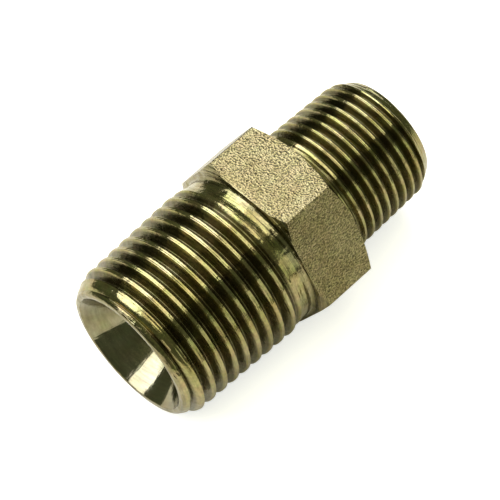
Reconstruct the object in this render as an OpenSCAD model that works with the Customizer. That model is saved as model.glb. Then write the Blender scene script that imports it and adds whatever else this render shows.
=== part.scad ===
// Reducing hex nipple: a tapered 1/2 pipe thread, a spanner hex and a tapered 3/8 pipe thread
// turned from one bar. The flow axis is X, the small end points to +X and a hex flat rests down.

/* [Hex] */
// Across the spanner flats
hex_across_flats = 21.8; // [21.7:0.1:27]
// How far the corners of the bar are rounded off, on the radius
hex_corner_trim = 0.05; // [0.02:0.01:0.5]
// Length of the hex along the axis
hex_length = 8.4; // [6:0.1:12]
// How far the chamfer on the big thread side sits outside the flats, on the radius
hex_front_land = 0.7; // [0:0.05:0.9]
// Chamfer angle at both ends of the hex, from the end plane
hex_chamfer_angle = 30; // [15:1:45]

/* [Big end, 1/2 taper thread] */
// From the hex to the end face
big_length = 20.1; // [16:0.1:25]
// Outside diameter of the pipe size
big_pipe_diameter = 21.336; // [21:0.042:21.6]
// Threads per inch
big_tpi = 14; // [11.5:0.5:18]
// Plain neck between the thread and the hex
big_neck_length = 1.1; // [1:0.1:4]
// Neck depth below the thread crests, on the radius
big_neck_depth = 0.6; // [0.3:0.05:0.9]

/* [Small end, 3/8 taper thread] */
// From the hex to the end face
small_length = 14.6; // [12:0.1:18]
// Outside diameter of the pipe size
small_pipe_diameter = 17.145; // [17:0.029:17.4]
// Threads per inch
small_tpi = 18; // [14:1:20]
// Plain neck between the thread and the hex
small_neck_length = 1; // [0.8:0.1:3]
// Neck depth below the thread crests, on the radius
small_neck_depth = 0.25; // [0.2:0.05:0.6]

/* [Passage] */
// Through bore
bore_diameter = 10; // [7:0.1:12]
// Flat ring left on the big end face around the mouth of its cone seat
big_rim_width = 0.75; // [0.6:0.05:2.5]
// Flat ring left on the small end face around the mouth of its cone seat
small_rim_width = 0.7; // [0.5:0.05:1.6]
// Included angle of both cone seats
seat_angle = 60; // [50:1:74]

/* [Thread form] */
// Width of the flat crest, as a share of the pitch
crest_flat = 0.18; // [0.04:0.02:0.24]
// Width of the flat root, as a share of the pitch
root_flat = 0.06; // [0.04:0.02:0.12]
// Depth of the lead-in chamfer below the crests, on the radius
lead_depth = 1.2; // [0.9:0.02:1.3]
// Lead-in angle, from the axis
lead_angle = 30; // [20:1:45]
// Where the big thread starts around the axis
big_start_angle = 130; // [-180:5:180]
// Where the small thread starts around the axis
small_start_angle = 170; // [-180:5:180]

/* [Hidden] */
segments = 64;
taper = 1 / 16;
inch = 25.4;
thread_half_angle = 30;
runout_angle = 14;
overlap = 0.6;
big_pitch = inch / big_tpi;
small_pitch = inch / small_tpi;
total_length = big_length + hex_length + small_length;
big_face_x = -total_length / 2;
hex_front_x = big_face_x + big_length;
hex_rear_x = hex_front_x + hex_length;
small_face_x = total_length / 2;
hex_flat_radius = hex_across_flats / 2;
hex_corner_radius = hex_flat_radius / cos(30) - hex_corner_trim;
big_end_radius = end_crest_radius(big_pipe_diameter, big_pitch);
small_end_radius = end_crest_radius(small_pipe_diameter, small_pitch);
big_neck_radius = big_end_radius + big_length * taper / 2 - big_neck_depth;
small_neck_radius = small_end_radius + small_length * taper / 2 - small_neck_depth;
bore_radius = bore_diameter / 2;
seat_step = 0.3;
big_mouth_radius = max(big_end_radius - lead_depth - big_rim_width, bore_radius + seat_step);
small_mouth_radius = max(small_end_radius - lead_depth - small_rim_width, bore_radius + seat_step);
$fn = 128;

// Crest radius at the end face of a 1 in 16 taper pipe thread, from its pitch line
function end_crest_radius(pipe, pitch) =
    (pipe - (0.05 * pipe / inch + 1.1) * pitch) / 2 + 0.34 * pitch;

// Thread form: [fraction of the pitch, 0 at the crest or 1 at the root]
form = [
    [-crest_flat / 2, 0],
    [crest_flat / 2, 0],
    [(1 - root_flat) / 2, 1],
    [(1 + root_flat) / 2, 1]
];

// Crest radius at a distance from the end face: lead-in, taper, then down into the neck
function crest_radius(z, end_r, runout_z) =
    min(end_r - lead_depth + z * tan(lead_angle),
        end_r + z * taper / 2,
        end_r + z * taper / 2 - (z - runout_z) * tan(runout_angle));

// Radius of one thread point; the groove never stands above the crest line
function thread_radius(z, k, end_r, runout_z, height) =
    let (crest = crest_radius(z, end_r, runout_z))
    k == 0 ? crest : min(crest, end_r + z * taper / 2 - height);

// Closed taper thread from z = 0 to z = length, wound right-handed about z
module taper_thread(end_r, pitch, length, runout_z, start) {
    height = pitch * (1 - crest_flat - root_flat) / 2 / tan(thread_half_angle);
    rows = 4 * (ceil(length / pitch) + 5);
    raw = [for (i = [0:rows - 1], j = [0:segments - 1])
        pitch * (floor(i / 4) - 2 + form[i % 4][0] + j / segments + start / 360)];
    function inside(i, j) =
        let (z = raw[i * segments + j]) z <= 0.02 ? -1 : z >= length - 0.02 ? 1 : 0;
    // Clamped points share one point of the end ring
    function wrap(i, j) = j < segments ? [i, j] : [i + 4, 0];
    function index(i, j) =
        let (w = wrap(i, j), r = min(w[0], rows - 1), s = inside(r, w[1]))
        s < 0 ? rows * segments + w[1]
        : s > 0 ? (rows + 1) * segments + w[1]
        : r * segments + w[1];
    function point(r, z, j) = [r * cos(360 * j / segments), r * sin(360 * j / segments), z];
    body = [for (i = [0:rows - 1], j = [0:segments - 1])
        let (z = min(max(raw[i * segments + j], 0), length))
        point(thread_radius(z, form[i % 4][1], end_r, runout_z, height), z, j)];
    first = [for (j = [0:segments - 1]) point(crest_radius(0, end_r, runout_z), 0, j)];
    last = [for (j = [0:segments - 1]) point(crest_radius(length, end_r, runout_z), length, j)];
    skin = [for (i = [0:rows - 5], j = [0:segments - 1])
        let (a = index(i, j), b = index(i, j + 1), c = index(i + 1, j + 1), d = index(i + 1, j))
        each [[a, c, b], [a, d, c]]];
    clean = [for (t = skin) if (t[0] != t[1] && t[1] != t[2] && t[2] != t[0]) t];
    near = [for (j = [1:segments - 2])
        [rows * segments, rows * segments + j, rows * segments + j + 1]];
    far = [for (j = [1:segments - 2])
        [(rows + 1) * segments, (rows + 1) * segments + j + 1, (rows + 1) * segments + j]];
    polyhedron(points = concat(body, first, last), faces = concat(clean, near, far));
}

// Hex with a chamfer cone at both ends and the rounded corners of drawn bar
module hex_section() {
    rise = tan(hex_chamfer_angle);
    front_r = hex_flat_radius + hex_front_land;
    intersection() {
        rotate([0, 90, 0])
            rotate([0, 0, 30])
                cylinder(r = hex_flat_radius / cos(30), h = hex_length, $fn = 6);
        rotate([0, 90, 0])
            rotate_extrude()
                polygon([
                    [0, 0],
                    [front_r, 0],
                    [hex_corner_radius, (hex_corner_radius - front_r) * rise],
                    [hex_corner_radius, hex_length - (hex_corner_radius - hex_flat_radius) * rise],
                    [hex_flat_radius, hex_length],
                    [0, hex_length]
                ]);
    }
}

module cone_seat(mouth_r, length) {
    slope = tan(seat_angle / 2);
    cylinder(r1 = mouth_r + slope, r2 = mouth_r - length * slope, h = length + 1);
}

module nipple_body() {
    big_depth = (big_mouth_radius - bore_radius) / tan(seat_angle / 2);
    small_depth = (small_mouth_radius - bore_radius) / tan(seat_angle / 2);
    big_thread_length = big_length - big_neck_length + overlap;
    small_thread_length = small_length - small_neck_length + overlap;
    color("#b3a36b")
        difference() {
            union() {
                translate([hex_front_x, 0, 0])
                    hex_section();
                translate([big_face_x, 0, 0])
                    rotate([0, 90, 0])
                        taper_thread(big_end_radius, big_pitch, big_thread_length,
                            big_length - big_neck_length - big_neck_depth / tan(runout_angle),
                            big_start_angle);
                translate([hex_front_x - big_neck_length, 0, 0])
                    rotate([0, 90, 0])
                        cylinder(r = big_neck_radius, h = big_neck_length + hex_length / 2);
                translate([small_face_x, 0, 0])
                    rotate([0, -90, 0])
                        taper_thread(small_end_radius, small_pitch, small_thread_length,
                            small_length - small_neck_length
                                - small_neck_depth / tan(runout_angle),
                            small_start_angle);
                translate([hex_rear_x - hex_length / 2, 0, 0])
                    rotate([0, 90, 0])
                        cylinder(r = small_neck_radius, h = small_neck_length + hex_length / 2);
            }
            translate([big_face_x - 1, 0, 0])
                rotate([0, 90, 0])
                    cylinder(r = bore_radius, h = total_length + 2);
            translate([big_face_x - 1, 0, 0])
                rotate([0, 90, 0])
                    cone_seat(big_mouth_radius, big_depth);
            translate([small_face_x + 1, 0, 0])
                rotate([0, -90, 0])
                    cone_seat(small_mouth_radius, small_depth);
        }
}

nipple_body();
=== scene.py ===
import math

import bmesh
import bpy
from mathutils import Matrix, Vector


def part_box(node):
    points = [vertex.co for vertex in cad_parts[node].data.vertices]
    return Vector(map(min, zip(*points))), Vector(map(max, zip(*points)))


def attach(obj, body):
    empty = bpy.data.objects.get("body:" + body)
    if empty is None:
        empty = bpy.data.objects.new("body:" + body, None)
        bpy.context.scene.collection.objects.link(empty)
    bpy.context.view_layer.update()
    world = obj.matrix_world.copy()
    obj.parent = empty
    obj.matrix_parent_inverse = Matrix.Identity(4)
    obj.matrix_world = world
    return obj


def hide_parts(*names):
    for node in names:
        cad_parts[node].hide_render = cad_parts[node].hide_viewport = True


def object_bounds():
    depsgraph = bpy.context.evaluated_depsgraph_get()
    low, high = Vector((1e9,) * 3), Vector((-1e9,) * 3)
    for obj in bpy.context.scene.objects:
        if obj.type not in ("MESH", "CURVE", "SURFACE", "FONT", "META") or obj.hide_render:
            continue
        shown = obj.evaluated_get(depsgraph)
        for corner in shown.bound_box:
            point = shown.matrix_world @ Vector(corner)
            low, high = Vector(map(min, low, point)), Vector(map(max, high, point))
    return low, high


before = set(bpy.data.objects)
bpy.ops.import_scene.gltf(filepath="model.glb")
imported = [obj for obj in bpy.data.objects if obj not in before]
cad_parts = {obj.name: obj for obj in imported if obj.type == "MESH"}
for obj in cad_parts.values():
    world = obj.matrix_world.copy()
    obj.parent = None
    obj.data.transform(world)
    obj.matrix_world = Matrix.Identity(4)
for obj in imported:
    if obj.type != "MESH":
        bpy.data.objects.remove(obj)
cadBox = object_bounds()
mm = 0.001

scene = bpy.context.scene
scene.view_settings.view_transform = "Standard"
scene.view_settings.look = "None"

nippleLow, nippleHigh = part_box("nipple_body")
bigFaceX = nippleLow[0] / mm  # end face of the big thread
smallFaceX = nippleHigh[0] / mm  # end face of the small thread

# what both ends share; lengths in mm, angles in degrees
blank = {
    "stepsAround": 180,
    "columnsPerPitch": 22,
    "taper": 1 / 16,  # on the diameter
    "flankAngle": 30.0,
    "crestRound": 0.09,  # shares of the thread height
    "rootRound": 0.1,
    "cutRound": 0.05,  # where the groove breaks through the outline
    "outlineRound": (0.08, 0.12, 0.1),  # lead-in, runout and neck
    "seamDepth": 0.016,  # shares of the pitch
    "seamHalfWidth": 0.062,
    "boreRadius": 5.0,
    "seatHalfAngle": 30.0,
    "edgeRound": 0.07,
    "noseSink": 0.28,  # how far the rounded nose drops at the end face
    "filletRadius": 0.45,
    "weld": 0.002,
    "sharpAngle": 28.0,
}

bigThread = {
    "pitch": 25.4 / 14,
    "endRadius": 10.249,
    "hexDistance": 20.1,
    "crestFlat": 0.22,
    "rootFlat": 0.06,
    "leadDepth": 1.2,
    "leadAngle": 30.0,
    "neckRadius": 10.274,
    "runoutStart": 16.59,
    "runoutAngle": 14.0,
    "fadeStart": 15.8,
    "fadeEnd": 19.0,
    "threadStart": 0.3,
    "threadEnd": 19.2,
    "startAngle": 130.0,
    "rim": 0.75,
}

smallThread = {
    "pitch": 25.4 / 18,
    "endRadius": 8.252,
    "hexDistance": 14.6,
    "crestFlat": 0.22,
    "rootFlat": 0.06,
    "leadDepth": 1.2,
    "leadAngle": 30.0,
    "neckRadius": 8.459,
    "runoutStart": 12.6,
    "runoutAngle": 14.0,
    "fadeStart": 12.2,
    "fadeEnd": 13.9,
    "threadStart": 0.25,
    "threadEnd": 14.0,
    "startAngle": 170.0,
    "rim": 0.7,
}

hexBlock = {
    "acrossFlats": 21.8,
    "cornerTrim": 0.05,
    "cornerHalfAngle": 0.4,
    "frontLand": 0.7,
    "chamferAngle": 30.0,
    "edgeRound": 0.09,
    "flatRows": 5,
}


def newTree(name, inputs):
    tree = bpy.data.node_groups.new(name, "GeometryNodeTree")
    tree.is_modifier = True
    tree.interface.new_socket("Geometry", in_out="INPUT", socket_type="NodeSocketGeometry")
    for label, kind in inputs:
        tree.interface.new_socket(label, in_out="INPUT", socket_type=kind)
    tree.interface.new_socket("Geometry", in_out="OUTPUT", socket_type="NodeSocketGeometry")
    return tree, tree.nodes.new("NodeGroupInput"), tree.nodes.new("NodeGroupOutput")


def calcWith(tree):
    # returns calc(operation, a, b, c): a Math node fed by sockets or plain numbers
    def calc(operation, *values):
        node = tree.nodes.new("ShaderNodeMath")
        node.operation = operation
        for socket, value in zip(node.inputs, values):
            if isinstance(value, (int, float)):
                socket.default_value = value
            else:
                tree.links.new(value, socket)
        return node.outputs[0]

    return calc


def buildThreadTree():
    labels = [
        "Pitch", "End Radius", "Taper", "Crest Flat", "Root Flat", "Lead Depth", "Lead Angle",
        "Neck Radius", "Runout Start", "Runout Angle", "Fade Start", "Fade End",
        "Thread Start", "Thread End", "Start Angle", "Seam Depth",
    ]
    inputs = [(label, "NodeSocketFloat") for label in labels]
    inputs += [("Steps Around", "NodeSocketInt"), ("Columns Per Pitch", "NodeSocketInt")]
    inputs += [("Material", "NodeSocketMaterial")]
    tree, source, result = newTree("taperThread", inputs)
    calc = calcWith(tree)
    link = tree.links.new
    size = source.outputs

    # one long ribbon of columns, wound once per pitch
    turns = calc("ADD", calc("CEIL", calc("DIVIDE", size["Thread End"], size["Pitch"])), 3)
    columns = calc("MULTIPLY", turns, size["Columns Per Pitch"])
    grid = tree.nodes.new("GeometryNodeMeshGrid")
    link(columns, grid.inputs["Size X"])
    link(size["Steps Around"], grid.inputs["Size Y"])
    link(calc("ADD", columns, 1), grid.inputs["Vertices X"])
    link(calc("ADD", size["Steps Around"], 1), grid.inputs["Vertices Y"])
    place = tree.nodes.new("GeometryNodeInputPosition")
    split = tree.nodes.new("ShaderNodeSeparateXYZ")
    link(place.outputs[0], split.inputs[0])
    column = calc("ROUND", calc("ADD", split.outputs[0], calc("MULTIPLY", columns, 0.5)))
    step = calc("ROUND", calc("ADD", split.outputs[1], calc("MULTIPLY", size["Steps Around"], 0.5)))

    # columns crowd at the edges of the crest and in the root
    share = calc("DIVIDE", column, size["Columns Per Pitch"])
    wholeTurns = calc("FLOOR", calc("ADD", share, 0.0001))
    crowd = tree.nodes.new("ShaderNodeFloatCurve")
    crowd.label = "column spacing"
    curve = crowd.mapping.curves[0]
    spacing = (0, 0.02, 0.044, 0.064, 0.084, 0.11, 0.155, 0.265, 0.385, 0.44, 0.475, 0.5)
    half = [(i / blank["columnsPerPitch"], y) for i, y in enumerate(spacing)]
    points = half + [(1 - x, 1 - y) for x, y in reversed(half[:-1])]
    curve.points[0].location, curve.points[1].location = points[0], points[-1]
    for spot in points[1:-1]:
        curve.points.new(*spot)
    for point in curve.points:
        point.handle_type = "VECTOR"
    crowd.mapping.update()
    link(calc("SUBTRACT", share, wholeTurns), crowd.inputs["Value"])

    # distance from the end face, growing by one pitch per turn
    turnShare = calc("DIVIDE", step, size["Steps Around"])
    startShare = calc("DIVIDE", size["Start Angle"], 360)
    wound = calc("ADD", calc("ADD", wholeTurns, crowd.outputs[0]), calc("ADD", turnShare, startShare))
    rawAlong = calc("MULTIPLY", calc("SUBTRACT", wound, 2), size["Pitch"])
    # columns past either end, or within a hair of it, close up into one ring
    hair = 0.012
    low = calc("LESS_THAN", rawAlong, calc("ADD", size["Thread Start"], hair))
    high = calc("GREATER_THAN", rawAlong, calc("SUBTRACT", size["Thread End"], hair))
    between = calc("SUBTRACT", 1, calc("MINIMUM", calc("ADD", low, high), 1))
    along = calc("ADD", calc("ADD", calc("MULTIPLY", size["Thread Start"], low),
                             calc("MULTIPLY", size["Thread End"], high)),
                 calc("MULTIPLY", rawAlong, between))
    across = calc("FRACT", calc("SUBTRACT", calc("ADD", calc("DIVIDE", along, size["Pitch"]), 5),
                                calc("ADD", turnShare, startShare)))

    # thread form: flat crest, straight flanks, rounded corners
    offCrest = calc("MINIMUM", across, calc("SUBTRACT", 1, across))
    halfCrest = calc("MULTIPLY", size["Crest Flat"], 0.5)
    flank = calc("SUBTRACT", calc("SUBTRACT", 0.5, halfCrest), calc("MULTIPLY", size["Root Flat"], 0.5))
    slope = calc("DIVIDE", calc("SUBTRACT", offCrest, halfCrest), flank)
    sunk = calc("SMOOTH_MIN", calc("SMOOTH_MAX", slope, 0, blank["crestRound"]), 1, blank["rootRound"])
    height = calc("DIVIDE", calc("MULTIPLY", flank, size["Pitch"]),
                  math.tan(math.radians(blank["flankAngle"])))

    # outline: lead-in chamfer, taper, then down into the neck
    crest = calc("ADD", size["End Radius"], calc("MULTIPLY", calc("MULTIPLY", along, size["Taper"]), 0.5))
    leadLine = calc("ADD", calc("SUBTRACT", size["End Radius"], size["Lead Depth"]),
                    calc("MULTIPLY", along, calc("TANGENT", calc("RADIANS", size["Lead Angle"]))))
    down = calc("MULTIPLY", calc("SUBTRACT", along, size["Runout Start"]),
                calc("TANGENT", calc("RADIANS", size["Runout Angle"])))
    runLine = calc("SUBTRACT", crest, down)
    leadRound, runoutRound, neckRound = blank["outlineRound"]
    outline = calc("SMOOTH_MIN", calc("SMOOTH_MIN", crest, leadLine, leadRound), runLine, runoutRound)
    outline = calc("SMOOTH_MAX", outline, size["Neck Radius"], neckRound)
    outline = calc("MINIMUM", outline, leadLine)
    fade = tree.nodes.new("ShaderNodeMapRange")
    fade.interpolation_type = "SMOOTHSTEP"
    link(along, fade.inputs["Value"])
    link(size["Fade Start"], fade.inputs["From Min"])
    link(size["Fade End"], fade.inputs["From Max"])
    fade.inputs["To Min"].default_value = 1
    fade.inputs["To Max"].default_value = 0
    # a shallow seam along the middle of each crest, left by the thread rolls
    seamShare = calc("MAXIMUM", calc("SUBTRACT", 1, calc("DIVIDE", offCrest, blank["seamHalfWidth"])), 0)
    seam = calc("MULTIPLY", calc("MULTIPLY", seamShare, size["Seam Depth"]), size["Pitch"])
    groove = calc("SUBTRACT", crest, calc("MULTIPLY", height, sunk))
    grooved = calc("SUBTRACT", calc("SMOOTH_MIN", outline, groove, blank["cutRound"]), seam)
    mixed = calc("ADD", calc("MULTIPLY", grooved, fade.outputs[0]),
                 calc("MULTIPLY", outline, calc("SUBTRACT", 1, fade.outputs[0])))
    # the last ring is a plain circle, so that the neck can carry on from it
    radius = calc("ADD", calc("MULTIPLY", mixed, calc("SUBTRACT", 1, high)),
                  calc("MULTIPLY", size["Neck Radius"], high))

    angle = calc("MULTIPLY", calc("ADD", turnShare, calc("DIVIDE", 0.5, size["Steps Around"])), 2 * math.pi)
    spot = tree.nodes.new("ShaderNodeCombineXYZ")
    link(calc("MULTIPLY", radius, calc("COSINE", angle)), spot.inputs[0])
    link(calc("MULTIPLY", radius, calc("SINE", angle)), spot.inputs[1])
    link(along, spot.inputs[2])
    move = tree.nodes.new("GeometryNodeSetPosition")
    link(grid.outputs["Mesh"], move.inputs["Geometry"])
    link(spot.outputs[0], move.inputs["Position"])
    weld = tree.nodes.new("GeometryNodeMergeByDistance")
    weld.inputs["Distance"].default_value = 0.001
    link(move.outputs[0], weld.inputs["Geometry"])
    real = tree.nodes.new("GeometryNodeRealizeInstances")
    link(weld.outputs[0], real.inputs[0])
    paint = tree.nodes.new("GeometryNodeSetMaterial")
    link(real.outputs[0], paint.inputs["Geometry"])
    link(size["Material"], paint.inputs["Material"])
    link(paint.outputs[0], result.inputs[0])
    return tree


def threadMesh(tree, sizes, material):
    # runs the tree with these sizes and returns a plain mesh in mm, wound about +Z from the end face
    holder = bpy.data.objects.new("threadHolder", bpy.data.meshes.new("threadHolder"))
    scene.collection.objects.link(holder)
    modifier = holder.modifiers.new("taperThread", "NODES")
    modifier.node_group = tree
    values = {**blank, **sizes, "material": material}
    for item in tree.interface.items_tree:
        key = item.name[0].lower() + item.name[1:].replace(" ", "")  # "End Radius" is kept as endRadius
        if item.in_out == "INPUT" and key in values:
            modifier[item.identifier] = values[key]
    bpy.context.view_layer.update()
    graph = bpy.context.evaluated_depsgraph_get()
    mesh = bpy.data.meshes.new_from_object(holder.evaluated_get(graph))
    holder.modifiers.remove(modifier)
    bpy.data.objects.remove(holder)
    return mesh


def hexRadius(angle):
    # outline of the hex at an angle from +Y towards +Z, with flats up and down
    flat = hexBlock["acrossFlats"] / 2
    off = (angle + 30) % 60 - 30
    corner = flat / math.cos(math.radians(30)) - hexBlock["cornerTrim"]
    return min(flat / math.cos(math.radians(30 - abs(off))), corner)


def roundedCorner(x0, r0, x1, r1, x2, r2, radius, steps=3):
    # points of a small arc that rounds the middle one of three profile points
    a = Vector((x0 - x1, r0 - r1)).normalized()
    b = Vector((x2 - x1, r2 - r1)).normalized()
    points = []
    for k in range(steps + 1):
        t = k / steps
        p = a * radius * (1 - t) ** 2 + b * radius * t ** 2
        points.append((x1 + p.x, r1 + p.y))
    return points


def firstRing(mesh, start):
    # radius of the thread's first ring at each step around, read from its mesh
    steps = blank["stepsAround"]
    radii = [0.0] * steps
    near = 0.0005
    for vert in mesh.vertices:
        if abs(vert.co.z - start) < near:
            turn = math.degrees(math.atan2(vert.co.y, vert.co.x)) % 360
            radii[int(turn * steps / 360)] = math.hypot(vert.co.x, vert.co.y)
    return radii


def noseRings(sizes, faceX, way, radii):
    # rounded nose between the end face and the start of the thread
    outer = sizes["endRadius"] - sizes["leadDepth"]
    start = sizes["threadStart"]
    slope = math.tan(math.radians(sizes["leadAngle"]))
    rings = []
    # distance from the face, and how much of the sink is left there
    for along, left in ((0, 1), (0.025, 0.62), (0.08, 0.3), (0.16, 0.1)):
        share = along / start
        line = outer + along * slope - blank["noseSink"] * left
        rings.append((faceX + way * along,
                      [line + (r - outer - start * slope) * share ** 2 for r in radii], "turned"))
    rings.append((faceX + way * start, radii, "turned"))
    return rings


def turnedRings():
    # rings from the big thread's end, over the hex, to the small thread's end: (x, radius, finish),
    # where x and radius may be functions of the angle
    half = math.radians(hexBlock["chamferAngle"])
    flatRadius = hexBlock["acrossFlats"] / 2
    frontX = bigFaceX + bigThread["hexDistance"]
    rearX = smallFaceX - smallThread["hexDistance"]
    landRadius = flatRadius + hexBlock["frontLand"]
    fillet = blank["filletRadius"]

    def frontEdge(angle):
        return frontX + max(0, hexRadius(angle) - landRadius) * math.tan(half)

    def rearEdge(angle):
        return rearX - (hexRadius(angle) - flatRadius) * math.tan(half)

    rings = [(bigFaceX + bigThread["threadEnd"], bigThread["neckRadius"], "turned")]
    for k in range(7):
        t = math.radians(90 * k / 6)
        rings.append((frontX - fillet * (1 - math.sin(t)),
                      bigThread["neckRadius"] + fillet * (1 - math.cos(t)), "turned"))
    soft = hexBlock["edgeRound"]
    for k in range(4):
        t = math.radians(30 * k)
        rings.append((lambda a, t=t: frontX + soft * (1 - math.cos(t)),
                      lambda a, t=t: min(landRadius, hexRadius(a)) - soft * (1 - math.sin(t)), "turned"))
    rings.append((lambda a: frontEdge(a) + soft, hexRadius, "turned"))
    for k in range(1, hexBlock["flatRows"]):
        t = k / hexBlock["flatRows"]
        rings.append((lambda a, t=t: (frontEdge(a) + soft) * (1 - t) + rearEdge(a) * t,
                      hexRadius, "grained"))
    rings.append((rearEdge, hexRadius, "grained"))
    rings.append((lambda a: rearX, lambda a: flatRadius, "turned"))
    for k in range(7):
        t = math.radians(90 * k / 6)
        rings.append((rearX + fillet * (1 - math.cos(t)),
                      smallThread["neckRadius"] + fillet * (1 - math.sin(t)), "turned"))
    rings.append((smallFaceX - smallThread["threadEnd"], smallThread["neckRadius"], "turned"))
    return rings


def passageRings():
    # from the small end's outer edge through the mouth, seat and bore to the big end's outer edge
    tan = math.tan(math.radians(blank["seatHalfAngle"]))
    bore = blank["boreRadius"]
    smallOuter = smallThread["endRadius"] - smallThread["leadDepth"]
    bigOuter = bigThread["endRadius"] - bigThread["leadDepth"]
    smallMouth = smallOuter - smallThread["rim"]
    bigMouth = bigOuter - bigThread["rim"]
    smallOuter, bigOuter = smallOuter - blank["noseSink"], bigOuter - blank["noseSink"]
    smallSeat = smallFaceX - (smallMouth - bore) / tan
    bigSeat = bigFaceX + (bigMouth - bore) / tan
    soft = blank["edgeRound"]
    rings = [(smallFaceX, smallOuter, "turned")]
    rings += [(x, r, "turned") for x, r in
              roundedCorner(smallFaceX, smallOuter, smallFaceX, smallMouth, smallSeat, bore, soft)]
    rings += [(x, r, "seat") for x, r in
              roundedCorner(smallFaceX, smallMouth, smallSeat, bore, bigSeat, bore, soft)]
    rings.append(((smallSeat + bigSeat) / 2, bore, "seat"))
    rings += [(x, r, "seat") for x, r in
              roundedCorner(smallSeat, bore, bigSeat, bore, bigFaceX, bigMouth, soft)]
    for k in range(1, 4):
        t = k / 4
        rings.append((bigSeat + (bigFaceX - bigSeat) * t, bore + (bigMouth - bore) * t, "seat"))
    rings += [(x, r, "seat" if k == 0 else "turned") for k, (x, r) in enumerate(
        roundedCorner(bigSeat, bore, bigFaceX, bigMouth, bigFaceX, bigOuter, soft))]
    rings.append((bigFaceX, bigOuter, "turned"))
    return rings


def nearCorner(angle):
    # moves the two steps beside each hex corner close to it, so the corner stays crisp
    off = (angle + 30) % 60 - 30
    step = 360 / blank["stepsAround"]
    if abs(off) > 0.75 * step:
        return angle
    return angle - off + math.copysign(hexBlock["cornerHalfAngle"], off)


def addRings(mesh, rings, slots):
    # rows of quads between neighbouring rings; each row takes the finish of its second ring
    steps = blank["stepsAround"]
    angles = [360 * (j + 0.5) / steps for j in range(steps)]
    previous = None
    for x, radius, finish in rings:
        row = []
        for angle in angles:
            r = radius
            if callable(radius):
                angle = nearCorner(angle)
                r = radius(angle)
            elif isinstance(radius, list):
                r = radius[len(row)]
            along = x(angle) if callable(x) else x
            turn = math.radians(angle)
            row.append(mesh.verts.new((along, r * math.cos(turn), r * math.sin(turn))))
        if previous:
            for j in range(steps):
                k = (j + 1) % steps
                face = mesh.faces.new((previous[j], row[j], row[k], previous[k]))
                face.material_index = slots.index(finish)
        previous = row


def buildNipple(materials):
    slots = ["thread", "turned", "grained", "seat"]
    tree = buildThreadTree()
    body = bmesh.new()
    noses = []
    # the thread tree winds about +Z: turn it so that +Z lies along the part
    toBig = Matrix(((0, 0, 1, bigFaceX), (1, 0, 0, 0), (0, 1, 0, 0), (0, 0, 0, 1)))
    toSmall = Matrix(((0, 0, -1, smallFaceX), (1, 0, 0, 0), (0, -1, 0, 0), (0, 0, 0, 1)))
    for sizes, turn, lag in ((bigThread, toBig, 90), (smallThread, toSmall, -90)):
        shifted = dict(sizes, startAngle=sizes["startAngle"] + lag)
        mesh = threadMesh(tree, shifted, materials["thread"])
        noses.append(firstRing(mesh, sizes["threadStart"]))
        mesh.transform(turn)
        start = len(body.faces)
        body.from_mesh(mesh)
        body.faces.ensure_lookup_table()
        for face in body.faces[start:]:
            face.material_index = slots.index("thread")
        bpy.data.meshes.remove(mesh)
        print("thread cut, faces so far", len(body.faces))
    # the small end is turned over, so its steps run the other way around
    addRings(body, noseRings(bigThread, bigFaceX, 1, noses[0]), slots)
    addRings(body, noseRings(smallThread, smallFaceX, -1, noses[1][::-1]), slots)
    addRings(body, turnedRings(), slots)
    addRings(body, passageRings(), slots)
    bmesh.ops.remove_doubles(body, verts=body.verts, dist=blank["weld"])
    bmesh.ops.dissolve_degenerate(body, edges=body.edges, dist=blank["weld"] / 4)
    bmesh.ops.recalc_face_normals(body, faces=body.faces)
    openEdges = [edge for edge in body.edges if not edge.is_manifold]
    print("edges that aren't shared by two faces:", len(openEdges))
    bmesh.ops.scale(body, vec=(mm, mm, mm), verts=body.verts)
    mesh = bpy.data.meshes.new("nippleSkin")
    body.to_mesh(mesh)
    body.free()
    for name in slots:
        mesh.materials.append(materials[name])
    mesh.shade_smooth()
    mesh.set_sharp_from_angle(angle=math.radians(blank["sharpAngle"]))
    piece = bpy.data.objects.new("nippleSkin", mesh)
    scene.collection.objects.link(piece)
    print("nipple faces", len(mesh.polygons))
    return piece


def shaderKit(tree):
    # returns the calc, noise, blend and spread helpers of one material's node tree
    calc = calcWith(tree)
    link = tree.links.new

    def noise(vector, scale, detail=2.0, rough=0.5):
        node = tree.nodes.new("ShaderNodeTexNoise")
        node.inputs["Scale"].default_value = scale
        node.inputs["Detail"].default_value = detail
        node.inputs["Roughness"].default_value = rough
        link(vector, node.inputs["Vector"])
        return node.outputs[0]

    def blend(share, first, second):
        node = tree.nodes.new("ShaderNodeMix")
        node.data_type = "RGBA"
        link(share, node.inputs["Factor"])
        for socket, value in ((node.inputs[6], first), (node.inputs[7], second)):
            if isinstance(value, tuple):
                socket.default_value = (*value, 1)
            else:
                link(value, socket)
        return node.outputs[2]

    def spread(value, low, high):
        # stretches the middle of a noise between two limits
        node = tree.nodes.new("ShaderNodeMapRange")
        link(value, node.inputs["Value"])
        node.inputs["From Min"].default_value = 0.32
        node.inputs["From Max"].default_value = 0.68
        node.inputs["To Min"].default_value = low
        node.inputs["To Max"].default_value = high
        return node.outputs[0]

    return calc, noise, blend, spread


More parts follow.
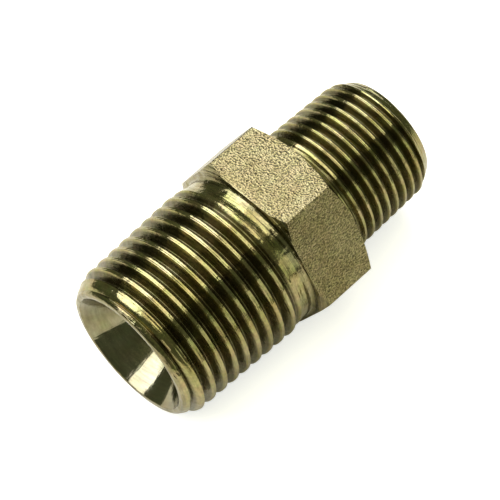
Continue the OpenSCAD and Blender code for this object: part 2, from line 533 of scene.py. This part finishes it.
def grooveShare(tree, calc, x, radius):
    # 0 on the crests, 1 down the flanks and in the roots, worked out from the outline of each end; it
    # places painted shade and extra roughness
    depths = []
    for sizes, faceX, way in ((bigThread, bigFaceX, 1), (smallThread, smallFaceX, -1)):
        flank = (1 - sizes["crestFlat"] - sizes["rootFlat"]) / 2
        height = flank * sizes["pitch"] / math.tan(math.radians(blank["flankAngle"]))
        taper = blank["taper"] / 2
        down = taper - math.tan(math.radians(sizes["runoutAngle"]))
        lines = [(sizes["endRadius"], taper),
                 (sizes["endRadius"] - sizes["leadDepth"], math.tan(math.radians(sizes["leadAngle"]))),
                 (sizes["endRadius"] + sizes["runoutStart"] * (taper - down), down)]
        outline = None
        for start, slope in lines:
            line = calc("MULTIPLY_ADD", x, way * slope, (start - faceX * way * slope) * mm)
            outline = calc("MINIMUM", outline, line) if outline else line
        depths.append(calc("DIVIDE", calc("SUBTRACT", outline, radius), height * mm))
    onSmall = calc("GREATER_THAN", x, 0)
    depth = calc("ADD", calc("MULTIPLY", depths[0], calc("SUBTRACT", 1, onSmall)),
                 calc("MULTIPLY", depths[1], onSmall))
    node = tree.nodes.new("ShaderNodeMapRange")
    node.interpolation_type = "SMOOTHSTEP"
    tree.links.new(depth, node.inputs["Value"])
    node.inputs["From Min"].default_value = 0.06
    node.inputs["From Max"].default_value = 0.3
    return node.outputs[0]


def platedSteel(name, look):
    # zinc plated steel with a yellow-green chromate film; the look names every size in metres
    material = bpy.data.materials.new(name)
    material.use_nodes = True
    tree = material.node_tree
    link = tree.links.new
    calc, noise, blend, spread = shaderKit(tree)
    shader = tree.nodes["Principled BSDF"]
    shader.inputs["Metallic"].default_value = 1

    place = tree.nodes.new("ShaderNodeTexCoord").outputs["Object"]
    split = tree.nodes.new("ShaderNodeSeparateXYZ")
    link(place, split.inputs[0])
    x, y, z = split.outputs
    radius = calc("SQRT", calc("ADD", calc("MULTIPLY", y, y), calc("MULTIPLY", z, z)))
    cosine, sine = calc("DIVIDE", y, radius), calc("DIVIDE", z, radius)

    def vector(a, b, c):
        node = tree.nodes.new("ShaderNodeCombineXYZ")
        for socket, value in zip(node.inputs, (a, b, c)):
            link(value, socket)
        return node.outputs[0]

    # tool marks run around the axis and change slowly on the way round
    drift = look["markDrift"]
    rings = vector(calc("ADD", x, calc("MULTIPLY", cosine, drift)),
                   calc("ADD", radius, calc("MULTIPLY", sine, drift)),
                   calc("MULTIPLY", calc("ADD", cosine, sine), drift))
    marks = noise(rings, look["markScale"], 3.0, 0.65)
    waves = noise(rings, look["waveScale"], 2.0, 0.5)
    grain = noise(place, look["grainScale"], look["grainDetail"], 0.55)
    dents = noise(place, look["dentScale"], 1.0, 0.5)
    cloud = noise(place, look["cloudScale"], 2.0, 0.5)
    tint = noise(place, look["cloudScale"] * 2.3, 3.0, 0.6)

    # film colour: olive, with thin greenish and rosy patches; painted shade darkens it in the pits of the
    # grain
    film = blend(spread(cloud, 0, 1), look["filmThin"], look["filmThick"])
    hue = blend(spread(tint, 0, 1), look["filmGreen"], look["filmRosy"])
    mixed = tree.nodes.new("ShaderNodeMix")
    mixed.data_type = "RGBA"
    mixed.inputs["Factor"].default_value = look["hueShare"]
    link(film, mixed.inputs[6])
    link(hue, mixed.inputs[7])
    # painted shade: the colour is darker in the hollows of the grain and of the tool marks, where their
    # relief is lowest
    shade = calc("MULTIPLY", spread(grain, 1 - look["pitShade"], 1),
                 spread(marks, 1 - look["markShade"], 1))
    inGroove = None
    # painted shade: the colour gets darker down the flanks and in the roots of the thread
    if look["grooveShade"]:
        inGroove = grooveShare(tree, calc, x, radius)
        groovesLeft = calc("SUBTRACT", 1, calc("MULTIPLY", inGroove, look["grooveShade"]))
        shade = calc("MULTIPLY", shade, groovesLeft)
    darkened = tree.nodes.new("ShaderNodeMix")
    darkened.data_type = "RGBA"
    darkened.blend_type = "MULTIPLY"
    darkened.inputs["Factor"].default_value = 1
    link(mixed.outputs[2], darkened.inputs[6])
    grey = vector(shade, shade, shade)
    link(grey, darkened.inputs[7])
    link(darkened.outputs[2], shader.inputs["Base Color"])

    # gloss: duller where the film is thick and along some tool marks
    low, high = look["roughness"]
    gloss = calc("ADD", spread(waves, 0, 0.5), spread(cloud, 0, 0.5))
    roughness = calc("ADD", calc("MULTIPLY", gloss, high - low), low)
    if inGroove:
        roughness = calc("ADD", roughness, calc("MULTIPLY", inGroove, look["grooveRoughness"]))
    link(roughness, shader.inputs["Roughness"])

    height = calc("ADD", calc("MULTIPLY", marks, look["markHeight"]),
                  calc("MULTIPLY", waves, look["waveHeight"]))
    height = calc("ADD", height, calc("MULTIPLY", grain, look["grainHeight"]))
    height = calc("ADD", height, calc("MULTIPLY", dents, look["dentHeight"]))
    if look["rayHeight"]:
        # chatter left along the cone by the seating tool
        rays = noise(vector(cosine, sine, calc("MULTIPLY", x, 20)), look["rayScale"], 3.0, 0.6)
        height = calc("ADD", height, calc("MULTIPLY", rays, look["rayHeight"]))
    bump = tree.nodes.new("ShaderNodeBump")
    bump.inputs["Strength"].default_value = 1
    bump.inputs["Distance"].default_value = 1
    link(height, bump.inputs["Height"])
    link(bump.outputs[0], shader.inputs["Normal"])
    return material


threadLook = {
    # film colours, thin and thick, and the tints of its patches
    "filmThin": (0.43, 0.395, 0.215), "filmThick": (0.32, 0.285, 0.10),
    "filmGreen": (0.32, 0.37, 0.10), "filmRosy": (0.48, 0.29, 0.16), "hueShare": 0.35,
    "cloudScale": 320.0,
    # painted shade: how much darker the colour is made in the pits of the grain, along the hollows of the
    # tool marks and down in the grooves
    "pitShade": 0.3, "markShade": 0.3, "grooveShade": 0.6,
    "roughness": (0.07, 0.2), "grooveRoughness": 0.12,
    # relief: noise cells per metre and heights in metres
    "markScale": 5200.0, "markDrift": 0.0008, "markHeight": 0.00002,
    "waveScale": 1100.0, "waveHeight": 0.00011,
    "dentScale": 620.0, "dentHeight": 0.00008,
    "grainScale": 2600.0, "grainDetail": 2.0, "grainHeight": 0.000018,
    "rayScale": 0.0, "rayHeight": 0.0,
}
turnedLook = {
    **threadLook,
    "filmThin": (0.38, 0.345, 0.205), "filmThick": (0.24, 0.21, 0.09), "hueShare": 0.2,
    "markShade": 0.5, "grooveShade": 0.0,
    "roughness": (0.06, 0.2),
    "markScale": 3400.0, "markHeight": 0.00006, "waveHeight": 0.0003, "dentHeight": 0.00016,
}
grainedLook = {
    **threadLook,
    "filmThin": (0.29, 0.25, 0.13), "filmThick": (0.225, 0.185, 0.085), "hueShare": 0.1,
    "pitShade": 0.6, "markShade": 0.0, "grooveShade": 0.0,
    "roughness": (0.2, 0.28),
    "markHeight": 0.0, "waveHeight": 0.0, "dentHeight": 0.0,
    "grainScale": 4400.0, "grainDetail": 0.5, "grainHeight": 0.00013,
}
seatLook = {
    **threadLook,
    "filmThin": (0.30, 0.285, 0.20), "filmThick": (0.21, 0.195, 0.11), "hueShare": 0.15,
    "pitShade": 0.1, "grooveShade": 0.0,
    "roughness": (0.07, 0.14),
    "markScale": 3000.0, "markHeight": 0.000004, "waveHeight": 0.00001, "dentHeight": 0.00001,
    "grainHeight": 0.000003, "rayScale": 9.0, "rayHeight": 0.00003,
}

materials = {
    "thread": platedSteel("platedThread", threadLook),
    "turned": platedSteel("platedTurned", turnedLook),
    "grained": platedSteel("platedGrained", grainedLook),
    "seat": platedSteel("platedSeat", seatLook),
}
print("finishes made:", len(materials))

nipple = buildNipple(materials)
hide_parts("nipple_body")
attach(nipple, "root")

# floor under the hex flat; the lens sees it a little brighter than the steel does
floorLook = {"radius": 0.1, "color": (0.80, 0.765, 0.67), "lift": 0.66}
floorZ = cadBox[0][2]
bpy.ops.mesh.primitive_circle_add(vertices=96, radius=floorLook["radius"], fill_type="NGON",
                                  location=(0, 0, floorZ))
floor = bpy.context.object
floor.name = "paleFloor"
paper = bpy.data.materials.new("paleFloor")
paper.use_nodes = True
paperShader = paper.node_tree.nodes["Principled BSDF"]
paperShader.inputs["Base Color"].default_value = (*floorLook["color"], 1)
paperShader.inputs["Roughness"].default_value = 0.8
paperShader.inputs["Specular IOR Level"].default_value = 0.1
paperShader.inputs["Emission Color"].default_value = (0.97, 0.99, 1, 1)
ray = paper.node_tree.nodes.new("ShaderNodeLightPath")
lift = calcWith(paper.node_tree)("MULTIPLY", ray.outputs["Is Camera Ray"], floorLook["lift"])
paper.node_tree.links.new(lift, paperShader.inputs["Emission Strength"])
floor.data.materials.append(paper)

# the part's axis rises to the right by the slope and leans away from the lens by the tilt;
# around is the turn about the axis at which the part faces the lens; mm and degrees
cameraSizes = {
    "tilt": 19.6,
    "slope": 41.33,
    "around": 116.6,
    "distance": 354.0,
    "aside": 2.12,
    "below": -2.13,
    "aimX": 1.35,
    "lens": 214.55,
}


def addCamera(sizes):
    tilt, slope, around = (math.radians(sizes[k]) for k in ("tilt", "slope", "around"))
    axis = Vector((1, 0, 0))
    near = Vector((0, math.cos(around), math.sin(around)))
    side = Vector((0, math.sin(around), -math.cos(around)))
    view = axis * math.sin(tilt) - near * math.cos(tilt)
    onImage = axis * math.cos(tilt) + near * math.sin(tilt)
    right = onImage * math.cos(slope) - side * math.sin(slope)
    up = onImage * math.sin(slope) + side * math.cos(slope)
    aim = Vector((sizes["aimX"], 0, 0)) - right * sizes["aside"] + up * sizes["below"]
    spot = aim - view * sizes["distance"]
    data = bpy.data.cameras.new("studioCamera")
    data.lens = sizes["lens"]
    data.sensor_width = 36
    data.clip_start = 0.01
    data.clip_end = 20
    camera = bpy.data.objects.new("studioCamera", data)
    scene.collection.objects.link(camera)
    turn = Matrix((right, up, -view)).transposed().to_4x4()
    camera.matrix_world = Matrix.Translation(spot * mm) @ turn
    scene.camera = camera


addCamera(cameraSizes)

# a wide overhead softbox in two halves, brighter and cooler at the back, a low one at the side
# for the far flanks, and a dim room; metres
studio = {
    "back": {
        "toward": (-0.17, 0.31, 0.514), "size": (1.16, 0.46),
        "radiance": 5.0, "color": (0.98, 1.0, 1.12),
    },
    "front": {
        "toward": (-0.02, -0.115, 0.59), "size": (0.98, 0.40),
        "radiance": 2.5, "color": (1.0, 0.98, 0.84),
    },
    "side": {
        "toward": (0.32, -0.585, 0.13), "size": (1.2, 0.3),
        "radiance": 1.0, "color": (0.95, 1.0, 0.8),
    },
    "room": (0.16, 0.18, 0.115),
    "backdrop": 0.95,
}


def addWorld(sizes):
    world = bpy.data.worlds.new("studioRoom")
    scene.world = world
    world.use_nodes = True
    tree = world.node_tree
    back = tree.nodes["Background"]
    back.inputs["Color"].default_value = (*sizes["room"], 1)
    pale = tree.nodes.new("ShaderNodeBackground")
    pale.inputs["Color"].default_value = (1, 1, 1, 1)
    pale.inputs["Strength"].default_value = sizes["backdrop"]
    ray = tree.nodes.new("ShaderNodeLightPath")
    mix = tree.nodes.new("ShaderNodeMixShader")
    tree.links.new(ray.outputs["Is Camera Ray"], mix.inputs[0])
    tree.links.new(back.outputs[0], mix.inputs[1])
    tree.links.new(pale.outputs[0], mix.inputs[2])
    tree.links.new(mix.outputs[0], tree.nodes["World Output"].inputs[0])


def addSoftbox(name, sizes):
    # the long side lies along X and the face looks at the part
    data = bpy.data.lights.new(name, "AREA")
    data.shape = "RECTANGLE"
    data.size, data.size_y = sizes["size"]
    data.color = sizes["color"]
    data.energy = sizes["radiance"] * math.pi * data.size * data.size_y
    light = bpy.data.objects.new(name, data)
    scene.collection.objects.link(light)
    away = Vector(sizes["toward"])
    light.location = away
    facing = Vector((0, away.y, away.z)).normalized()
    across = Vector((1, 0, 0))
    light.rotation_euler = Matrix((across, facing.cross(across), facing)).transposed().to_euler()


addWorld(studio)
for name in ("back", "front", "side"):
    addSoftbox(name + "Softbox", studio[name])
print("studio lit")
